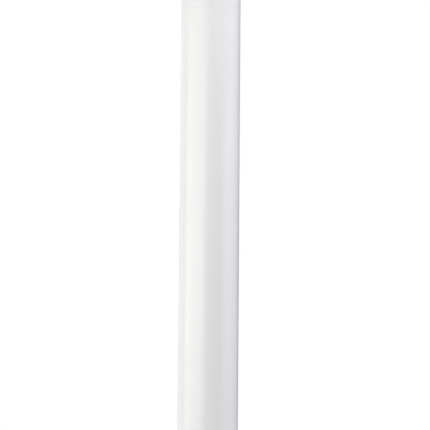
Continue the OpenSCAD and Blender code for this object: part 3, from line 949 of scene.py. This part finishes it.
def tip_piece():
    """The nylon tip: a flat worn foot, a barrel side, a shouldered neck and the bearing's pocket."""
    node = "rolling_tip"
    height, tip_r = top(node), radius(node)
    foot_r, side_r, mouth_r = 6 * MM, tip_r - 0.5 * MM, 10 * MM
    foot = side_r - foot_r
    shoulder_z = 24 * MM
    outer = [(0.0, 0.0), (foot_r * 0.5, 0.0)]
    for k in range(19):
        a = math.radians(5 * k)
        outer.append((foot_r + foot * math.sin(a), foot * (1 - math.cos(a))))
    belly = 12
    for k in range(1, belly):
        t = k / belly
        outer.append((side_r + 0.5 * MM * math.sin(math.pi * t), foot + (shoulder_z - foot) * t))
    neck = 20
    for k in range(neck + 1):
        t = k / neck
        s = (1 + math.cos(math.pi * t)) / 2
        outer.append((mouth_r + (side_r - mouth_r) * s, shoulder_z + t * (height - 1 * MM - shoulder_z)))
    seat_r, seat_z = radius("bearing_outer_ring") + BOND_GAP, bottom("bearing_outer_ring")
    well_r, well_z = 6.6 * MM, seat_z - 5 * MM
    end_r, end_z = 2.6 * MM, bottom("tip_stem") - 1 * MM
    outer += fillet([outer[-1], (mouth_r - 0.8 * MM, height), (seat_r, height)], 0.3 * MM, closed=False)[1:]
    pocket = [(seat_r, seat_z), (well_r, seat_z), (well_r, well_z), (end_r, well_z), (end_r, end_z)]
    pocket.append((0.0, end_z))
    mesh = lathe(outer + pocket, 144, closed=False)
    finish_mesh("rolling_tip_nylon", mesh, TIP_NYLON, "tip_nylon", "tip_roller", node)


def adapter_piece():
    """The threaded adapter, with a knurled flange under the lowest tube."""
    node = "tip_adapter"
    low, high, r = bottom(node), top(node), radius(node)
    flange_top = bottom("lowest_tube")
    insert_r = radius("lowest_tube") - TUBE_WALL - BOND_GAP
    bore = 2.5 * MM
    knurls = 48
    rows = 10
    edge = 0.5 * MM

    def with_knurl(angle, r_here, z):
        inside = min(z - low, flange_top - z) - edge
        if r_here > r - 0.4 * MM and inside > 0:
            share = min(1.0, inside / (0.4 * MM))
            r_here -= 0.18 * MM * share * abs(math.sin(knurls * angle / 2))
        return (r_here * math.cos(angle), r_here * math.sin(angle), z)

    side = [(r, low + edge + (flange_top - low - 2 * edge) * k / rows) for k in range(rows + 1)]
    outline = [(bore, low), (r - edge, low)] + side + [(r - edge, flange_top), (insert_r, flange_top)]
    outline += [(insert_r, high - 0.4 * MM), (insert_r - 0.4 * MM, high), (bore, high)]
    mesh = lathe(outline, knurls * 6, shape=with_knurl)
    finish_mesh("tip_adapter_knurled", mesh, TUBE_METAL, "tube_aluminium", "lowest_section", node)


# Screws, nuts and the tip's stem

SCREW_R = 1.5 * MM
SCREW_PITCH = 0.5 * MM
SCREW_HEAD_L = 2 * MM
SCREW_SIDES = 36
HEX_TURN = TURN / 6


def hexed(angle, r):
    """Radius of a hexagon whose corners lie at radius r."""
    return r * math.cos(HEX_TURN / 2) / math.cos(angle % HEX_TURN - HEX_TURN / 2)


def thread_dip(angle, z, pitch, low, high):
    """Depth of a V thread at a point, with a short run-out at both ends."""
    fade = max(0.0, min(1.0, (z - low) / pitch, (high - z) / pitch))
    phase = (z / pitch - angle / TURN) % 1.0
    return 0.5 * pitch * fade * abs(2 * phase - 1)


def thread_rows(r, pitch, low, high):
    count = round((high - low) / pitch * 6)
    return [(r, low + (high - low) * k / count) for k in range(count + 1)]


def lock_screw_piece(lock, body):
    """A fully threaded screw with a chamfered hex head and a hex socket."""
    node = lock + "_lock_screw"
    low, high, head_r = bottom(node), top(node), radius(node)
    neck = low + SCREW_HEAD_L
    thread_low, thread_high = neck + 0.6 * MM, high - 0.3 * MM

    def shape(angle, r, z):
        if z < neck + TOUCH and r > SCREW_R + TOUCH or z < neck - 0.5 * MM:
            r = hexed(angle, r)
        elif r > SCREW_R - TOUCH:
            r -= thread_dip(angle, z, SCREW_PITCH, thread_low, thread_high)
        return (r * math.cos(angle), r * math.sin(angle), z)

    socket_r, socket_l = 1.2 * MM, 1.2 * MM
    outline = [(0.0, low + socket_l), (socket_r, low + socket_l), (socket_r, low)]
    outline += [(head_r - 0.35 * MM, low), (head_r, low + 0.3 * MM), (head_r, neck), (SCREW_R, neck)]
    outline += thread_rows(SCREW_R, SCREW_PITCH, thread_low, thread_high)
    outline += [(SCREW_R - 0.3 * MM, high), (0.0, high)]
    mesh = lathe(outline, SCREW_SIDES, closed=False, shape=shape)
    finish_mesh(node + "_threaded", mesh, STEEL, "steel", body, node)


def lock_nut_piece(lock, body):
    """A thin hex nut with chamfered corners and a countersunk bore."""
    node = lock + "_lock_nut"
    low, high, r = bottom(node), top(node), radius(node)
    bore = SCREW_R + BOND_GAP
    edge = 0.25 * MM

    def shape(angle, r_here, z):
        if r_here > bore + 2 * edge:
            r_here = min(hexed(angle, r), r_here)
        return (r_here * math.cos(angle), r_here * math.sin(angle), z)

    outline = [(bore, low + edge), (bore + edge, low), (r - 1.6 * edge, low), (r, low + edge)]
    outline += [(r, high - edge), (r - 1.6 * edge, high), (bore + edge, high), (bore, high - edge)]
    mesh = lathe(outline, SCREW_SIDES * 2, shape=shape)
    finish_mesh(node + "_chamfered", mesh, STEEL, "steel", body, node)


def stem_piece():
    """The tip's stem: a plain journal with a clip groove, a shoulder and a threaded upper end."""
    node = "tip_stem"
    low, high, shoulder_r = bottom(node), top(node), radius(node)
    r = 2.48 * MM
    clip_low, clip_high = bottom("tip_retaining_clip") - 0.05 * MM, top("tip_retaining_clip") + 0.05 * MM
    groove_r, edge = 2.2 * MM, 0.3 * MM
    shoulder_low, shoulder_high = top("bearing_inner_ring"), bottom("tip_adapter")
    pitch = 0.8 * MM
    thread_low, thread_high = shoulder_high + 0.6 * MM, high - 0.5 * MM

    def shape(angle, r_here, z):
        if z > shoulder_high and r_here > r - TOUCH:
            r_here -= thread_dip(angle, z, pitch, thread_low, thread_high)
        return (r_here * math.cos(angle), r_here * math.sin(angle), z)

    outline = [(0.0, low), (r - 0.5 * MM, low), (r, low + 0.5 * MM), (r, clip_low), (groove_r, clip_low)]
    outline += [(groove_r, clip_high), (r, clip_high), (r, shoulder_low)]
    outline += [(shoulder_r - edge, shoulder_low), (shoulder_r, shoulder_low + edge)]
    outline += [(shoulder_r, shoulder_high - edge), (shoulder_r - edge, shoulder_high), (r, shoulder_high)]
    outline += thread_rows(r, pitch, thread_low, thread_high)
    outline += [(r - 0.5 * MM, high), (0.0, high)]
    mesh = lathe(outline, 48, closed=False, shape=shape)
    finish_mesh("tip_stem_threaded", mesh, STEEL, "steel", "lowest_section", node)


# CAD nodes whose own shape is right, with their looks


def dress(material, *nodes):
    for node in nodes:
        piece = frame["nodes"][node]
        piece.data.materials.clear()
        piece.data.materials.append(material)


LOCKS = ("upper", "middle", "lower")
dress(EXPANDER_PLASTIC, *[lock + "_lock_expander" for lock in LOCKS])
dress(CONE_PLASTIC, *[lock + "_lock_cone" for lock in LOCKS])
dress(PLUG_PLASTIC, *[lock + "_lock_plug" for lock in LOCKS])
dress(STEEL, "tip_retaining_clip")
dress(BEARING_STEEL, "bearing_inner_ring", "bearing_outer_ring", "bearing_balls")
dress(CAGE_NYLON, "bearing_cage")
dress(COLLAR_PLASTIC, "tip_dust_washer")

for section, body in SECTIONS:
    tube_piece(section, body)
    film_piece(section, body)
for (section, body), (below, _) in zip(SECTIONS, SECTIONS[1:]):
    collar_piece(section, below, body)
grip_piece()
cap_piece()
pin_piece()
cord_piece()
splice_piece()
lock_body_piece()
lock_button_piece()
lock_spring_piece()
tip_piece()
adapter_piece()
stem_piece()
for lock, (_, body) in zip(LOCKS, SECTIONS[1:]):
    lock_screw_piece(lock, body)
    lock_nut_piece(lock, body)


# Studio


def floor():
    """A wide pale disc under the tip."""
    outline = [(0, -FLOOR_THICK), (FLOOR_R, -FLOOR_THICK), (FLOOR_R, 0), (0, 0)]
    mesh = turned(lathe(outline, 96, closed=False), Matrix.Translation((0, 0, -FLOOR_GAP)))
    mesh.materials.append(floor_look("studio_floor"))
    disc = bpy.data.objects.new("studio_floor", mesh)
    bpy.context.scene.collection.objects.link(disc)


SHOWN_Z = bottom("upper_collar") - 58 * MM  # middle of the stretch of tube that the camera shows


def softbox(name, azimuth, distance, height, width, tall, power):
    """A small soft light close to the cane that faces it. Azimuth 0 is the camera's side."""
    data = bpy.data.lights.new(name, "AREA")
    data.shape = "RECTANGLE"
    data.size, data.size_y = width, tall
    data.energy = power
    lamp = bpy.data.objects.new(name, data)
    a = math.radians(azimuth)
    lamp.location = (distance * math.sin(a), -distance * math.cos(a), height)
    aim = Vector((0, 0, SHOWN_Z)) - lamp.location
    lamp.rotation_mode = "QUATERNION"
    lamp.rotation_quaternion = aim.to_track_quat("-Z", "Y")
    lamp.visible_camera = False
    bpy.context.scene.collection.objects.link(lamp)


WARM_LIGHT = (1.0, 1.0, 0.975)
COOL_LIGHT = (0.975, 0.98, 1.045)
WORLD_BASE = 0.25
# Panels of soft light: azimuth from the camera's side, half width, soft edge, half height (all in
# degrees, measured at the horizon) and level
KEY_PANEL = (-60, 40, 10, 90, 0.83)
KEY_STRIP = (-57, 38, 4, 14, 1.4)
BACK_PANEL = (-142, 22, 12, 90, 0.66)
FILL_PANEL = (90, 28, 12, 90, 0.74)
FILL_STRIP = (75, 16, 8, 14, 0.6)
# A low black card behind the cane on the right, which draws that edge against the white: the same
# angles, and the share of the light that it takes away
EDGE_CARD = (165, 14, 8, 3, 0.9)


def world():
    """White to the camera. As a light, a dim studio with tall soft panels round the cane."""
    made = bpy.data.worlds.new("studio")
    bpy.context.scene.world = made
    made.use_nodes = True
    nodes = Nodes(made.node_tree)
    direction = nodes.node("ShaderNodeTexCoord").outputs["Generated"]
    level_ray = nodes.vector("NORMALIZE", nodes.vector("MULTIPLY", direction, (1, 1, 0)))
    climb = nodes.math("ABSOLUTE", nodes.node("ShaderNodeSeparateXYZ", Vector=direction).outputs["Z"])

    def toward(azimuth):
        """Cosine of the level angle between a ray and an azimuth."""
        a = math.radians(azimuth)
        return nodes.vector("DOT_PRODUCT", level_ray, (math.sin(a), -math.cos(a), 0))

    def panel(azimuth, half, soft, tall, level):
        """`level` within a panel's angles, 0 outside its soft edge."""
        edge, rim = math.radians(half), math.radians(half + soft)
        wide = nodes.span(toward(azimuth), math.cos(rim), math.cos(edge), smooth=True)
        top_edge, top_rim = math.radians(tall), math.radians(min(90, tall + soft))
        low = nodes.span(climb, math.sin(top_rim) + 0.01, math.sin(top_edge), 0.0, level, smooth=True)
        return nodes.math("MULTIPLY", wide, low)

    light = WORLD_BASE
    for angles in (KEY_PANEL, KEY_STRIP, BACK_PANEL, FILL_PANEL, FILL_STRIP):
        light = nodes.math("ADD", panel(*angles), light)
    light = nodes.math("MULTIPLY", light, nodes.math("SUBTRACT", 1.0, panel(*EDGE_CARD)))
    tint = nodes.mix(nodes.span(toward(KEY_PANEL[0]), -0.2, 0.8, smooth=True), COOL_LIGHT, WARM_LIGHT)
    seen = nodes.node("ShaderNodeLightPath").outputs["Is Camera Ray"]
    unseen = nodes.math("SUBTRACT", 1.0, seen)
    back = made.node_tree.nodes["Background"]
    nodes.feed(back.inputs["Color"], nodes.mix(seen, tint, (1, 1, 1)))
    nodes.feed(back.inputs["Strength"], nodes.math("ADD", nodes.math("MULTIPLY", light, unseen), seen))


# Width of the shaft in the frame and its place beside the frame's middle, as shares of the frame's width
SHAFT_SHARE = 0.13907
SHAFT_SHIFT = -0.013256
CAMERA_DISTANCE = 0.40
CAMERA_PITCH = math.radians(5.6)
CAMERA_ROLL = math.radians(0.46)
SENSOR = 36.0


def camera():
    """Close on the second tube, just below the upper collar, from the front and a little below."""
    shown_w = 2 * radius("second_film") / SHAFT_SHARE
    aim = Vector((-SHAFT_SHIFT * shown_w, 0, SHOWN_Z))
    back = Vector((0, -math.cos(CAMERA_PITCH), -math.sin(CAMERA_PITCH)))
    data = bpy.data.cameras.new("camera")
    data.sensor_width = SENSOR
    data.lens = SENSOR * CAMERA_DISTANCE / shown_w
    data.clip_start = 0.02
    data.clip_end = 60
    eye = bpy.data.objects.new("camera", data)
    eye.location = aim + back * CAMERA_DISTANCE
    eye.rotation_mode = "QUATERNION"
    level = (-back).to_track_quat("-Z", "Y")
    roll = Matrix.Rotation(CAMERA_ROLL, 4, "Z").to_quaternion()
    eye.rotation_quaternion = level @ roll
    bpy.context.scene.collection.objects.link(eye)
    bpy.context.scene.camera = eye


floor()
world()
softbox("upper_fill", azimuth=38, distance=0.14, height=0.92, width=0.08, tall=0.08, power=0.09)
camera()
bpy.context.scene.view_settings.view_transform = "Standard"
